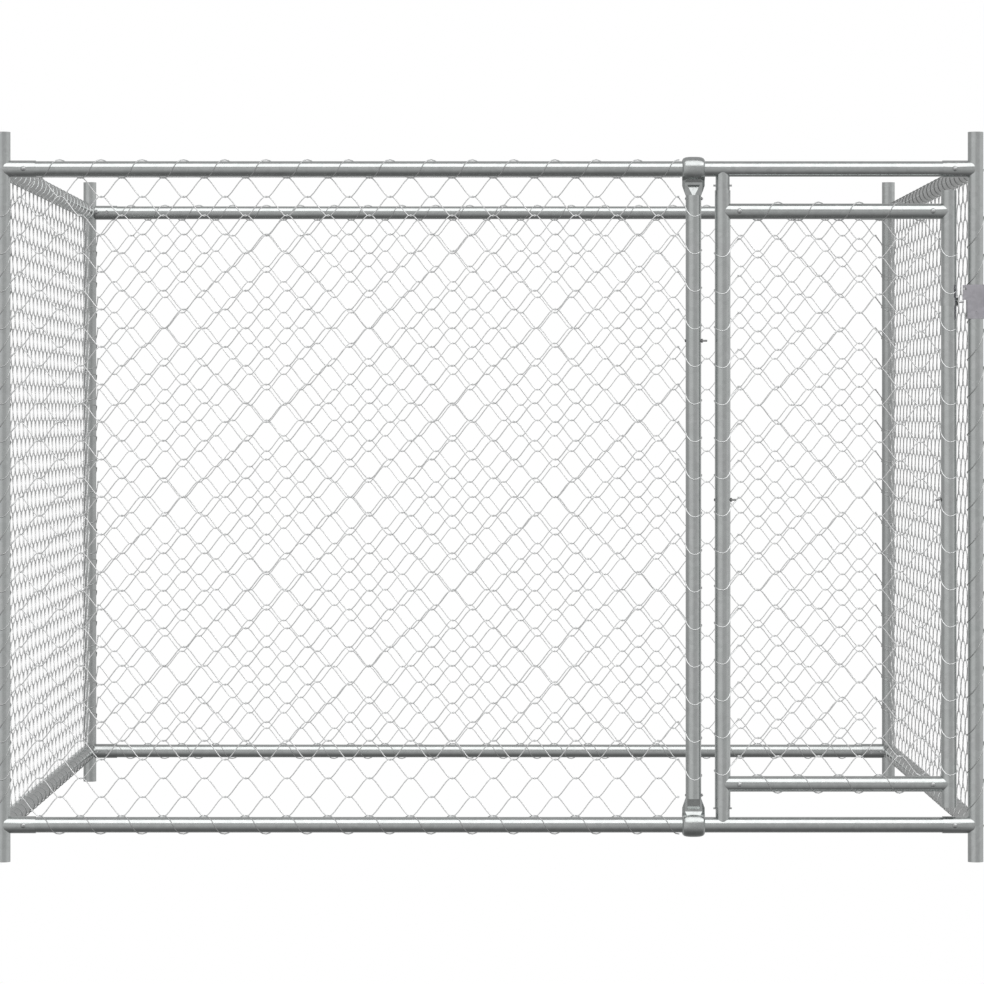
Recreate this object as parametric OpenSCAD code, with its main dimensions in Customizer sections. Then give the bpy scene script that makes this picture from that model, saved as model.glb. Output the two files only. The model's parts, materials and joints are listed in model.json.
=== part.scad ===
// Outdoor dog kennel run: a tube frame with chain-link walls, a swinging door and a sliding latch.
// Millimetres. +X to the right of someone facing the door, +Y to the rear, +Z up.
// The origin is on the ground, midway between the four corner posts.

/* [Overall size] */
// Distance between the post axes across the front
kennel_w = 2000; // [1600:10:3000]
// Distance between the post axes from front to rear
kennel_d = 2000; // [1000:10:4000]
// Length of a corner post
post_h = 1500; // [1300:10:2000]
// Distance of a rail's axis from the nearer end of its post
rail_inset = 76; // [64:1:110]

/* [Tube] */
// Outside diameter of every frame and door tube
tube_d = 32; // [28:0.5:36]
// Wall of every frame and door tube
tube_wall = 1.2; // [1:0.1:2]

/* [Rail sockets] */
// Reach of a socket from the axis of its post
socket_reach = 68; // [60:1:90]
// Wall of a socket
socket_wall = 1.2; // [1:0.1:2]
// Clearance on the radius between a rail and its socket
socket_clear = 0.3; // [0.2:0.05:0.5]
// Distance of a rail bolt from the axis of the post
rail_bolt_at = 44; // [38:1:52]
// Height of the socket's blind floor above the side of the neighbouring socket
socket_floor_step = 1; // [0.5:0.1:3]
// Gap between a rail's end and the socket's floor
rail_end_gap = 0.5; // [0.2:0.1:2]
// Distance of the point of a socket's saddle from the axis of the post
saddle_tip = 1.5; // [0.5:0.1:4]
// Slope of the saddle's two edges
saddle_slope = 0.4; // [0.2:0.05:0.6]

/* [Rail, door and keeper bolts] */
// Shank diameter of a bolt
bolt_d = 6; // [5:0.5:8]
// Diameter of a bolt's round head
head_d = 11; // [10:0.5:14]
// Height of a bolt's round head
head_h = 3; // [2:0.25:4]
// Nut width across its flats
nut_af = 10; // [9:0.5:13]
// Nut height
nut_h = 5; // [4:0.5:7]
// Length of shank that shows past a nut
bolt_tail = 2.5; // [1:0.5:5]

/* [Cross bolts] */
// Shank diameter of the thin tie bolts across the middle post and the stiles
cross_d = 4; // [3:0.5:5]
// Diameter of a cross bolt's round head
cross_head_d = 7; // [6:0.5:9]
// Height of a cross bolt's round head
cross_head_h = 2; // [1.5:0.25:3]
// Cross nut width across its flats
cross_nut_af = 7; // [6:0.5:9]
// Cross nut height
cross_nut_h = 3.2; // [2.4:0.1:5]
// Length of shank that shows past a cross bolt's nut
cross_tail = 9; // [1:0.5:11]

/* [Bolt fits] */
// Clearance on the diameter of a bolt hole
bolt_clear = 0.6; // [0.4:0.1:1]
// Clearance on the diameter of a nut's thread
thread_clear = 0.2; // [0.1:0.05:0.4]
// Gap at a head, a nut or a welded seat
seat_gap = 0.1; // [0.05:0.05:0.3]

/* [Middle post] */
// Distance from the middle post's axis to the right post's axis
doorway_w = 580; // [480:10:800]
// Distance from the front rail's axis to the end of the middle post
mid_post_end = 54; // [46:1:60]
// Distance from the top rail's axis down to the tie bolt through the middle post
mid_bolt_drop = 353; // [100:1:1000]

/* [Tee clamp] */
// Width of the clamp's ring along the rail
tee_w = 46; // [40:1:60]
// Outside diameter of the clamp's ring
tee_d = 50; // [46:1:60]
// Wall of the barrel-shaped ring at its two ends
tee_edge = 2.5; // [2:0.1:4]
// Drop from the rail's axis to where the ring becomes a plain saddle
tee_saddle_at = 17; // [4:1:19]
// Height of the barrel's crown above the saddle
tee_step = 0.6; // [0.4:0.1:1.5]
// Depth from front to back of the shoulder where it leaves the saddle
tee_shoulder_d = 26; // [24:1:32]
// Width of the shoulder's flat front
tee_shoulder_w = 28; // [20:1:36]
// Depth of the neck's flat sides from front to back
tee_side_d = 6; // [4:1:12]
// Distance from the rail's axis to the foot of the shoulder
tee_shoulder = 28; // [26:1:30]
// Distance from the rail's axis to the end of the straight neck
tee_neck = 35; // [32:1:38]
// Depth of the neck from front to back
tee_depth = 18; // [12:1:22]
// Distance from the rail's axis to the deep end of the pocket in the neck's front
tee_pocket_at = 33; // [32:1:38]
// Depth of the pocket
tee_pocket = 7; // [4:0.5:12]
// Width of the pocket at its deep end
tee_pocket_w = 26; // [18:0.5:28]
// Width of the upper clamp's pocket at the middle post
tee_pocket_tip = 5; // [4:0.5:24]
// Length of the spigot inside the middle post
tee_spigot = 26; // [20:1:40]
// Wall of the spigot
tee_spigot_wall = 2.5; // [2:0.1:4]

/* [Tee clamp bolts] */
// Distance from the middle post's end to a clamp bolt
tee_bolt_in = 7; // [6:0.5:14]
// Shank diameter of a clamp bolt
tee_bolt_d = 3; // [2.5:0.5:5]
// Diameter of a clamp bolt's round head
tee_head_d = 5.5; // [5:0.5:9]
// Height of a clamp bolt's round head
tee_head_h = 1.5; // [1:0.25:3]
// Clamp nut width across its flats
tee_nut_af = 5.5; // [5:0.5:9]
// Clamp nut height
tee_nut_h = 2.4; // [2:0.1:5]
// Length of shank that shows past a clamp bolt's nut
tee_bolt_tail = 1.5; // [1:0.5:9]

/* [Door] */
// Distance from the middle post's axis to the hinge stile's axis
hinge_gap = 60; // [50:1:80]
// Distance from the latch stile's axis to the right post's axis
latch_gap = 55; // [52:1:70]
// Distance from the bottom front rail's axis up to the door's bottom rail
door_rail_rise = 84; // [80:1:140]
// Distance from the top front rail's axis down to the door's top rail
door_rail_drop = 87; // [80:1:140]
// Length of a spigot from the axis of its stile
spigot_reach = 60; // [50:1:80]
// Wall of a spigot
spigot_wall = 2; // [1.5:0.1:3]
// Clearance on the radius between a spigot and the rail over it
spigot_clear = 0.3; // [0.2:0.05:0.5]
// Distance of a door bolt from the axis of its stile
door_bolt_at = 34; // [30:1:44]
// Distance from the top rail's axis down to the tie bolts through the two stiles
stile_bolt_drop = 680; // [320:1:1000]

/* [Hinge] */
// Clearance on the radius between a pivot stub and the stile on it
hinge_clear = 0.3; // [0.2:0.05:0.5]
// Wall of a pivot stub
pivot_wall = 2; // [1.5:0.1:3]
// Length of a pivot stub inside the stile
pivot_engage = 40; // [25:1:45]
// Distance from the front rail's axis to the cross pin
hinge_pin_at = 34; // [28:0.5:38]
// Diameter of the cross pin
hinge_pin_d = 4; // [3:0.5:5]
// Length of the cross pin
hinge_pin_len = 38; // [36:1:46]
// Gap between the stile's foot and the pin that carries it
hinge_rest_gap = 0.3; // [0.2:0.05:0.5]
// Free height above the stile, under the upper pin
hinge_lift = 8; // [2:1:12]

/* [Latch] */
// Distance from the top rail's axis down to the latch rod
latch_drop = 273; // [150:1:600]
// Diameter of the latch rod
rod_d = 5; // [4:0.5:6]
// Clearance on the radius between the rod and its guide bush
rod_clear = 0.2; // [0.1:0.05:0.3]
// Length of the rod to the right of the latch stile's axis
rod_out = 31; // [29:0.5:33]
// Length of the rod inside the guide, left of the latch stile's axis
rod_in = 14; // [8:0.5:15]
// Outside diameter of the guide bush
guide_d = 9; // [8:0.5:11]
// Height of the band round the latch stile
band_h = 16; // [12:1:24]
// Thickness of the band
band_t = 1.5; // [1:0.1:2]
// Thickness of the thumb plate
thumb_t = 2.5; // [2:0.1:3]
// Height of the thumb plate
thumb_h = 20; // [14:1:60]
// Depth of the thumb plate from front to back
thumb_w = 20; // [14:1:24]

/* [Latch keeper] */
// Height of the keeper
keeper_h = 70; // [60:1:90]
// Thickness of the keeper's plate
keeper_t = 2; // [1.5:0.1:3]
// Depth of the keeper's sides behind the post's axis
keeper_back = 14; // [10:1:15]
// Distance of each keeper bolt above and below the latch rod
keeper_bolt_at = 26; // [20:1:30]
// Width of the padlock tab to the left of the keeper
tab_w = 10; // [8:0.5:11]
// Gap between the rod's top and the tab's foot
tab_gap = 1; // [0.5:0.1:3]
// Distance of the tab's top below the keeper's top
tab_drop = 1; // [0:0.5:8]
// Diameter of the hole in the tab
tab_hole_d = 6; // [4:0.5:8]

/* [Chain link] */
// Width of one mesh
mesh_w = 84.8; // [60:0.1:120]
// Height of one mesh
mesh_h = 77.4; // [60:0.1:120]
// Diameter of the wire
wire_d = 2.4; // [1.6:0.1:4]
// Pitches from one drawn wire to the next
wire_step = 3; // [3:1:6]
// Gap between a panel's edge and the tube beside it
net_gap = 0.3; // [0.2:0.05:0.6]
// Gap between a panel's notch and the piece in it
notch_gap = 1; // [0.5:0.1:3]

/* [Hidden] */
$fn = 48;
eps = 1;
galvanised = [0.62, 0.64, 0.63];
zinc_bolt = [0.72, 0.73, 0.72];
cast_zinc = [0.55, 0.57, 0.57];
plate_grey = [0.6, 0.59, 0.61];
wire_grey = [0.75, 0.76, 0.76];

tube_r = tube_d / 2;
bore_d = tube_d - 2 * tube_wall;
post_x = kennel_w / 2;
post_y = kennel_d / 2;
rail_zs = [rail_inset, post_h - rail_inset];
rail_low = rail_zs[0];
rail_top = rail_zs[1];

socket_bore_d = tube_d + 2 * socket_clear;
socket_d = socket_bore_d + 2 * socket_wall;
socket_floor = socket_d / 2 + socket_floor_step;
rail_start = socket_floor + rail_end_gap;

// A kind of bolt is [shank diameter, head diameter, head height, nut flats, nut height, tail]
rail_kind = [bolt_d, head_d, head_h, nut_af, nut_h, bolt_tail];
cross_kind = [cross_d, cross_head_d, cross_head_h, cross_nut_af, cross_nut_h, cross_tail];
tee_kind = [tee_bolt_d, tee_head_d, tee_head_h, tee_nut_af, tee_nut_h, tee_bolt_tail];
hole_d = bolt_d + bolt_clear;
cross_hole_d = cross_d + bolt_clear;
tee_hole_d = tee_bolt_d + bolt_clear;
socket_seat = socket_d / 2 + seat_gap;
tube_seat = tube_r + seat_gap;

mid_x = post_x - doorway_w;
mid_low = rail_low + mid_post_end;
mid_top = rail_top - mid_post_end;
mid_bolt_z = rail_top - mid_bolt_drop;
tee_bolt_off = mid_post_end + tee_bolt_in;
tee_bolt_zs = [rail_low + tee_bolt_off, rail_top - tee_bolt_off];

hinge_x = mid_x + hinge_gap;
latch_x = post_x - latch_gap;
door_low = rail_low + door_rail_rise;
door_top = rail_top - door_rail_drop;
door_zs = [door_low, door_top];
stile_low = rail_low + hinge_pin_at + hinge_pin_d / 2 + hinge_rest_gap;
stile_top = rail_top - hinge_pin_at - hinge_pin_d / 2 - hinge_lift;
stile_bolt_z = rail_top - stile_bolt_drop;
spigot_d = bore_d - 2 * spigot_clear;
pivot_d = bore_d - 2 * hinge_clear;

latch_z = rail_top - latch_drop;
band_r = tube_r + socket_clear + band_t;
thumb_x = latch_x + band_r + rod_clear + seat_gap;
keeper_in = tube_r + socket_clear;
keeper_out = keeper_in + keeper_t;
keeper_low = latch_z - keeper_h / 2;
keeper_seat = keeper_out + seat_gap;
tab_low = latch_z + rod_d / 2 + tab_gap;
tab_top = keeper_low + keeper_h - tab_drop;

net_edge = tube_r + net_gap;
net_rail_edge = socket_d / 2 + net_gap;
notch_r = max(cross_head_d, cross_nut_af / cos(30)) / 2 + notch_gap;
notch_reach = tube_seat + max(cross_head_h, cross_nut_h + cross_tail) + notch_gap;
bolt_notch = [2 * notch_reach, 2 * notch_r];
clamp_notch = [2 * max(tee_w / 2 + notch_gap, notch_reach), 2 * (tee_bolt_off + notch_r)];
band_notch = [2 * (band_r + notch_gap), band_h + 2 * notch_gap];
panel_low = rail_low + net_rail_edge;
panel_top = rail_top - net_rail_edge;

// Turns +Z to point along dir
module aim(dir) {
    rotate([0, acos(dir[2]), atan2(dir[1], dir[0])]) children();
}

// A hollow tube along +Z from the origin
module pipe(d, wall, len) {
    difference() {
        cylinder(d = d, h = len);
        translate([0, 0, -eps]) cylinder(d = d - 2 * wall, h = len + 2 * eps);
    }
}

// A straight drill along +Z, through everything within reach of the origin
module drill(d, reach) {
    translate([0, 0, -reach]) cylinder(d = d, h = 2 * reach);
}

// A round-headed bolt along +Z with its head at +seat and its nut's seat at -seat
module bolt(kind, seat) {
    cap_d = kind[1];
    cap_h = kind[2];
    cap_r = (cap_d * cap_d / 4 + cap_h * cap_h) / (2 * cap_h);
    reach = seat + kind[4] + kind[5];
    translate([0, 0, -reach]) cylinder(d = kind[0], h = reach + seat + cap_h / 2);
    translate([0, 0, seat]) rotate_extrude() intersection() {
        translate([0, cap_h - cap_r]) circle(r = cap_r);
        square([cap_d, cap_h]);
    }
}

// The nut of such a bolt
module nut(kind, seat) {
    translate([0, 0, -seat - kind[4]]) difference() {
        cylinder(d = kind[3] / cos(30), h = kind[4], $fn = 6);
        translate([0, 0, -eps]) cylinder(d = kind[0] + thread_clear, h = kind[4] + 2 * eps);
    }
}

// Puts its children at every rail end, with +Z out of the kennel
module at_rail_ends() {
    for (sx = [-1, 1], sy = [-1, 1], z = rail_zs) {
        translate([sx * (post_x - rail_bolt_at), sy * post_y, z]) aim([0, sy, 0]) children();
        translate([sx * post_x, sy * (post_y - rail_bolt_at), z]) aim([sx, 0, 0]) children();
    }
}

// Outside of one rail socket along +X, with a saddle-shaped end
module socket_body() {
    side = socket_d / 2 + eps;
    saddle_x = saddle_tip + saddle_slope * side;
    intersection() {
        rotate([0, 90, 0]) cylinder(d = socket_d, h = socket_reach);
        rotate([90, 0, 0]) linear_extrude(height = socket_d + 2 * eps, center = true) polygon([
            [saddle_tip, 0], [saddle_x, -side], [socket_reach + eps, -side],
            [socket_reach + eps, side], [saddle_x, side]
        ]);
    }
}

// Bore of one rail socket along +X, and its bolt hole
module socket_bore() {
    translate([socket_floor, 0, 0]) rotate([0, 90, 0])
        cylinder(d = socket_bore_d, h = socket_reach - socket_floor + eps);
    translate([rail_bolt_at, 0, 0]) rotate([90, 0, 0]) drill(hole_d, socket_d);
}

// Places its children at the four sockets of the post at corner sx, sy
module at_sockets(sx, sy) {
    for (z = rail_zs, turn = [sx > 0 ? 180 : 0, sy > 0 ? -90 : 90])
        translate([0, 0, z]) rotate([0, 0, turn]) children();
}

module corner_post(sx, sy) {
    color(galvanised) translate([sx * post_x, sy * post_y, 0]) difference() {
        union() {
            cylinder(d = tube_d, h = post_h);
            at_sockets(sx, sy) socket_body();
        }
        translate([0, 0, -eps]) cylinder(d = bore_d, h = post_h + 2 * eps);
        at_sockets(sx, sy) socket_bore();
    }
}

// The right front post also takes the keeper's bolts and the latch rod
module latch_post() {
    difference() {
        corner_post(1, -1);
        translate([post_x, -post_y, latch_z]) {
            for (s = [-1, 1])
                translate([0, 0, s * keeper_bolt_at]) rotate([0, 90, 0]) drill(hole_d, tube_d);
            rotate([0, -90, 0]) cylinder(d = rod_d + bolt_clear, h = tube_d);
        }
    }
}

// A rail of full length along +X, centred, with a bolt hole at each end
module rail(span) {
    len = span - 2 * rail_start;
    color(galvanised) difference() {
        translate([-len / 2, 0, 0]) rotate([0, 90, 0]) pipe(tube_d, tube_wall, len);
        for (s = [-1, 1])
            translate([s * (span / 2 - rail_bolt_at), 0, 0]) rotate([90, 0, 0]) drill(hole_d, tube_d);
    }
}

module rail_across(sy, z) {
    translate([0, sy * post_y, z]) rail(kennel_w);
}

module rail_along(sx, z) {
    translate([sx * post_x, 0, z]) rotate([0, 0, 90]) rail(kennel_d);
}

module rail_bolts() {
    color(zinc_bolt) at_rail_ends() bolt(rail_kind, socket_seat);
}

module rail_nuts() {
    color(zinc_bolt) at_rail_ends() nut(rail_kind, socket_seat);
}

// Places its children on the middle post at a height, with +Z along the front
module on_mid_post(z, dir) {
    translate([mid_x, -post_y, z]) aim([dir, 0, 0]) children();
}

module mid_post() {
    color(galvanised) difference() {
        translate([mid_x, -post_y, mid_low]) pipe(tube_d, tube_wall, mid_top - mid_low);
        for (z = tee_bolt_zs) on_mid_post(z, 1) drill(tee_hole_d, tube_d);
        on_mid_post(mid_bolt_z, 1) drill(cross_hole_d, tube_d);
    }
}

module mid_post_bolt() {
    color(zinc_bolt) on_mid_post(mid_bolt_z, -1) bolt(cross_kind, tube_seat);
}

module mid_post_nut() {
    color(zinc_bolt) on_mid_post(mid_bolt_z, -1) nut(cross_kind, tube_seat);
}

// Ring of a tee clamp along X, without its bore: a barrel above and a plain saddle below
module tee_ring() {
    base = socket_bore_d / 2 + tee_edge;
    crown = tee_d / 2 - base;
    steps = 16;
    shares = [for (i = [0:steps]) 2 * i / steps - 1];
    outside = [for (a = shares) [base + crown * sqrt(1 - pow(abs(a), 3)), a * tee_w / 2]];
    rotate([0, 90, 0]) rotate_extrude() polygon(concat([[0, -tee_w / 2]], outside, [[0, tee_w / 2]]));
    intersection() {
        rotate([0, 90, 0]) cylinder(r = tee_d / 2 - tee_step, h = tee_w, center = true);
        translate([-tee_w / 2, -tee_d / 2, -tee_d]) cube([tee_w, tee_d, tee_d - tee_saddle_at]);
    }
}

// The shared space of a front outline in XZ and a side outline in YZ
module carve(front, side) {
    intersection() {
        rotate([90, 0, 0]) linear_extrude(height = 2 * tee_d, center = true) polygon(front);
        rotate([90, 0, 90]) linear_extrude(height = 2 * tee_w, center = true) polygon(side);
    }
}

// A tee clamp round a rail along X, with its spigot along -Z and a pocket in its front
module tee_clamp(pocket_end_w) {
    half = tee_w / 2;
    deep = tee_depth / 2;
    wide = tee_shoulder_d / 2;
    crest = tee_shoulder_w / 2;
    flat = tee_side_d / 2;
    spigot_r = bore_d / 2 - spigot_clear;
    end_z = -mid_post_end;
    seat_z = end_z + seat_gap;
    wide_z = tee_step - sqrt(tee_d * tee_d / 4 - wide * wide);
    color(cast_zinc) difference() {
        union() {
            tee_ring();
            intersection() {
                carve(
                    [
                        [-half, 0], [-half, -tee_neck], [-tube_r, seat_z], [-spigot_r, seat_z],
                        [-spigot_r, end_z], [spigot_r, end_z],
                        [spigot_r, seat_z], [tube_r, seat_z], [half, -tee_neck], [half, 0]
                    ],
                    [
                        [-wide, 0], [-wide, wide_z], [-deep, -tee_shoulder], [-deep, end_z],
                        [deep, end_z], [deep, -tee_shoulder], [wide, wide_z], [wide, 0]
                    ]
                );
                linear_extrude(height = 2 * mid_post_end, center = true) polygon([
                    [-half, -flat], [-crest, -wide], [crest, -wide], [half, -flat],
                    [half, flat], [crest, wide], [-crest, wide], [-half, flat]
                ]);
            }
            translate([0, 0, end_z - tee_spigot]) cylinder(r = spigot_r, h = tee_spigot);
        }
        carve(
            [
                [-tee_pocket_w / 2, -tee_pocket_at], [-pocket_end_w / 2, end_z],
                [pocket_end_w / 2, end_z], [tee_pocket_w / 2, -tee_pocket_at]
            ],
            [
                [-tube_r, -tee_pocket_at], [tee_pocket - deep, -tee_pocket_at],
                [-deep, end_z], [-tube_r, end_z]
            ]
        );
        rotate([0, 90, 0]) drill(socket_bore_d, tee_w);
        translate([0, 0, end_z - tee_spigot - eps])
            cylinder(r = spigot_r - tee_spigot_wall, h = tee_spigot + eps - tee_spigot_wall);
        translate([0, 0, -tee_bolt_off]) rotate([0, 90, 0]) drill(tee_hole_d, tube_d);
    }
}

module tee_clamp_top() {
    translate([mid_x, -post_y, rail_top]) tee_clamp(tee_pocket_tip);
}

module tee_clamp_bottom() {
    translate([mid_x, -post_y, rail_low]) rotate([0, 180, 0]) tee_clamp(tee_pocket_w);
}

module tee_clamp_bolts() {
    color(zinc_bolt) for (z = tee_bolt_zs) on_mid_post(z, -1) bolt(tee_kind, tube_seat);
}

module tee_clamp_nuts() {
    color(zinc_bolt) for (z = tee_bolt_zs) on_mid_post(z, -1) nut(tee_kind, tube_seat);
}

// A pivot stub along +Z from a rail's axis, saddled on the rail and drilled for its cross pin
module hinge_pivot(len) {
    color(galvanised) difference() {
        pipe(pivot_d, pivot_wall, len);
        rotate([0, 90, 0]) drill(tube_d + 2 * seat_gap, tube_d);
        translate([0, 0, hinge_pin_at]) rotate([0, 90, 0]) drill(hinge_pin_d + bolt_clear, tube_d);
    }
}

module hinge_pivot_top() {
    len = rail_top - stile_top + pivot_engage;
    translate([hinge_x, -post_y, rail_top]) rotate([180, 0, 0]) hinge_pivot(len);
}

module hinge_pivot_bottom() {
    translate([hinge_x, -post_y, rail_low]) hinge_pivot(stile_low - rail_low + pivot_engage);
}

module hinge_pins() {
    color(zinc_bolt) for (z = [rail_low + hinge_pin_at, rail_top - hinge_pin_at])
        translate([hinge_x, -post_y, z]) rotate([0, 90, 0]) drill(hinge_pin_d, hinge_pin_len / 2);
}

// A door stile along +Z with two spigots towards +X or -X
module stile(x, side) {
    color(galvanised) translate([x, -post_y, 0]) difference() {
        union() {
            translate([0, 0, stile_low]) cylinder(d = tube_d, h = stile_top - stile_low);
            for (z = door_zs)
                translate([0, 0, z]) aim([side, 0, 0]) cylinder(d = spigot_d, h = spigot_reach);
        }
        translate([0, 0, stile_low - eps]) cylinder(d = bore_d, h = stile_top - stile_low + 2 * eps);
        for (z = door_zs) translate([0, 0, z]) {
            aim([side, 0, 0]) translate([0, 0, tube_r + spigot_wall])
                cylinder(d = spigot_d - 2 * spigot_wall, h = spigot_reach);
            translate([side * door_bolt_at, 0, 0]) rotate([90, 0, 0]) drill(hole_d, tube_d);
        }
        translate([0, 0, stile_bolt_z]) rotate([0, 90, 0]) drill(cross_hole_d, tube_d);
    }
}

module door_hinge_stile() {
    stile(hinge_x, 1);
}

module door_latch_stile() {
    difference() {
        stile(latch_x, -1);
        translate([latch_x, -post_y, latch_z]) rotate([0, 90, 0]) drill(guide_d + 2 * rod_clear, tube_d);
    }
}

module door_rail(z) {
    color(galvanised) translate([0, -post_y, z]) difference() {
        translate([hinge_x, 0, 0]) rotate([0, 90, 0]) pipe(tube_d, tube_wall, latch_x - hinge_x);
        for (x = [hinge_x, latch_x]) translate([x, 0, 0]) drill(tube_d + 2 * spigot_clear, tube_d);
        for (x = [hinge_x + door_bolt_at, latch_x - door_bolt_at])
            translate([x, 0, 0]) rotate([90, 0, 0]) drill(hole_d, tube_d);
    }
}

// Puts its children at the four corners of the door, with +Z towards the front
module at_door_corners() {
    for (x = [hinge_x + door_bolt_at, latch_x - door_bolt_at], z = door_zs)
        translate([x, -post_y, z]) aim([0, -1, 0]) children();
}

module door_bolts() {
    color(zinc_bolt) at_door_corners() bolt(rail_kind, tube_seat);
}

module door_nuts() {
    color(zinc_bolt) at_door_corners() nut(rail_kind, tube_seat);
}

// Puts its children on both stiles, with +Z away from the door's middle
module at_stiles() {
    translate([hinge_x, -post_y, stile_bolt_z]) aim([-1, 0, 0]) children();
    translate([latch_x, -post_y, stile_bolt_z]) aim([1, 0, 0]) children();
}

module stile_bolts() {
    color(zinc_bolt) at_stiles() bolt(cross_kind, tube_seat);
}

module stile_nuts() {
    color(zinc_bolt) at_stiles() nut(cross_kind, tube_seat);
}

module latch_band() {
    color(plate_grey) translate([latch_x, -post_y, latch_z]) difference() {
        translate([0, 0, -band_h / 2]) pipe(2 * band_r, band_t, band_h);
        rotate([0, 90, 0]) cylinder(d = guide_d + 2 * rod_clear, h = tube_d);
    }
}

module latch_guide() {
    color(zinc_bolt) translate([latch_x - bore_d / 2, -post_y, latch_z]) rotate([0, 90, 0])
        pipe(guide_d, (guide_d - rod_d) / 2 - rod_clear, bore_d / 2 + band_r);
}

module latch_rod() {
    color(zinc_bolt) translate([latch_x - rod_in, -post_y, latch_z]) rotate([0, 90, 0])
        cylinder(d = rod_d, h = rod_in + rod_out);
}

module latch_thumb_plate() {
    color(plate_grey) translate([thumb_x, -post_y, latch_z]) difference() {
        translate([0, -thumb_w / 2, -thumb_h / 2]) cube([thumb_t, thumb_w, thumb_h]);
        rotate([0, 90, 0]) drill(rod_d + seat_gap, thumb_w);
    }
}

module latch_keeper() {
    color(plate_grey) translate([post_x, -post_y, 0]) difference() {
        union() {
            translate([-keeper_out, -keeper_out, keeper_low])
                cube([2 * keeper_out, keeper_out + keeper_back, keeper_h]);
            translate([-keeper_out - tab_w, -keeper_out, tab_low])
                cube([tab_w + keeper_t, keeper_t, tab_top - tab_low]);
        }
        translate([-keeper_in, -keeper_in, keeper_low - eps])
            cube([2 * keeper_in, keeper_in + keeper_back + eps, keeper_h + 2 * eps]);
        for (s = [-1, 1])
            translate([0, 0, latch_z + s * keeper_bolt_at]) rotate([0, 90, 0]) drill(hole_d, tube_d);
        translate([0, 0, latch_z]) rotate([0, -90, 0]) cylinder(d = rod_d + bolt_clear, h = tube_d);
        translate([-keeper_out - tab_w / 2, 0, latch_z + keeper_bolt_at])
            rotate([90, 0, 0]) drill(tab_hole_d, tube_d);
    }
}

// Puts its children at the keeper's two bolts, with +Z towards the door
module at_keeper_bolts() {
    for (s = [-1, 1])
        translate([post_x, -post_y, latch_z + s * keeper_bolt_at]) aim([-1, 0, 0]) children();
}

module keeper_bolts() {
    color(zinc_bolt) at_keeper_bolts() bolt(rail_kind, keeper_seat);
}

module keeper_nuts() {
    color(zinc_bolt) at_keeper_bolts() nut(rail_kind, keeper_seat);
}

// One diamond gap of a panel, centred, in the panel's own plane
module mesh_gap(w, h) {
    bar_x = wire_d / 2 * sqrt(w * w + h * h) / h;
    bar_y = wire_d / 2 * sqrt(w * w + h * h) / w;
    polygon([[w / 2 - bar_x, 0], [0, h / 2 - bar_y], [bar_x - w / 2, 0], [0, bar_y - h / 2]]);
}

// A chain-link panel from corner lo to corner hi in the XZ plane, with edged notches of [centre, size]
module panel(lo, hi, notches = []) {
    gap_w = mesh_w * wire_step;
    gap_h = mesh_h * wire_step;
    size = hi - lo;
    edge = [wire_d, wire_d];
    cols = ceil(size[0] / gap_w);
    rows = ceil(size[1] / gap_h);
    color(wire_grey) rotate([90, 0, 0]) linear_extrude(height = wire_d, center = true) difference() {
        translate(lo) square(size);
        difference() {
            intersection() {
                translate(lo + edge) square(size - 2 * edge);
                for (i = [0:cols], j = [0:2 * rows])
                    translate(lo + [(i + (j % 2) / 2) * gap_w, j * gap_h / 2]) mesh_gap(gap_w, gap_h);
            }
            for (n = notches) translate(n[0]) square(n[1] + 2 * edge, center = true);
        }
        for (n = notches) translate(n[0]) square(n[1], center = true);
    }
}

module mesh_front() {
    translate([0, -post_y, 0]) panel([net_edge - post_x, panel_low], [mid_x - net_edge, panel_top], [
        [[mid_x, rail_low], clamp_notch],
        [[mid_x, rail_top], clamp_notch],
        [[mid_x, mid_bolt_z], bolt_notch]
    ]);
}

module mesh_rear() {
    translate([0, post_y, 0]) panel([net_edge - post_x, panel_low], [post_x - net_edge, panel_top]);
}

module mesh_side(sx) {
    translate([sx * post_x, 0, 0]) rotate([0, 0, 90])
        panel([net_edge - post_y, panel_low], [post_y - net_edge, panel_top]);
}

module mesh_door() {
    lo = [hinge_x + net_edge, door_low + net_edge];
    hi = [latch_x - net_edge, door_top - net_edge];
    translate([0, -post_y, 0]) panel(lo, hi, [
        [[hinge_x, stile_bolt_z], bolt_notch],
        [[latch_x, stile_bolt_z], bolt_notch],
        [[latch_x, latch_z], band_notch]
    ]);
}

corner_post(-1, -1);  // post_front_left
latch_post();  // post_front_right
corner_post(-1, 1);  // post_rear_left
corner_post(1, 1);  // post_rear_right
rail_across(-1, rail_top);  // rail_front_top
rail_across(-1, rail_low);  // rail_front_bottom
rail_across(1, rail_top);  // rail_rear_top
rail_across(1, rail_low);  // rail_rear_bottom
rail_along(-1, rail_top);  // rail_left_top
rail_along(-1, rail_low);  // rail_left_bottom
rail_along(1, rail_top);  // rail_right_top
rail_along(1, rail_low);  // rail_right_bottom
rail_bolts();
rail_nuts();
mid_post();
mid_post_bolt();
mid_post_nut();
tee_clamp_top();
tee_clamp_bottom();
tee_clamp_bolts();
tee_clamp_nuts();
hinge_pivot_top();
hinge_pivot_bottom();
hinge_pins();
latch_keeper();
keeper_bolts();
keeper_nuts();
mesh_front();
mesh_rear();
mesh_side(-1);  // mesh_left
mesh_side(1);  // mesh_right
door_hinge_stile();
door_latch_stile();
door_rail(door_top);  // door_rail_top
door_rail(door_low);  // door_rail_bottom
door_bolts();
door_nuts();
stile_bolts();
stile_nuts();
mesh_door();
latch_band();
latch_guide();
latch_rod();
latch_thumb_plate();
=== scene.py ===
import json
import math

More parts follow.
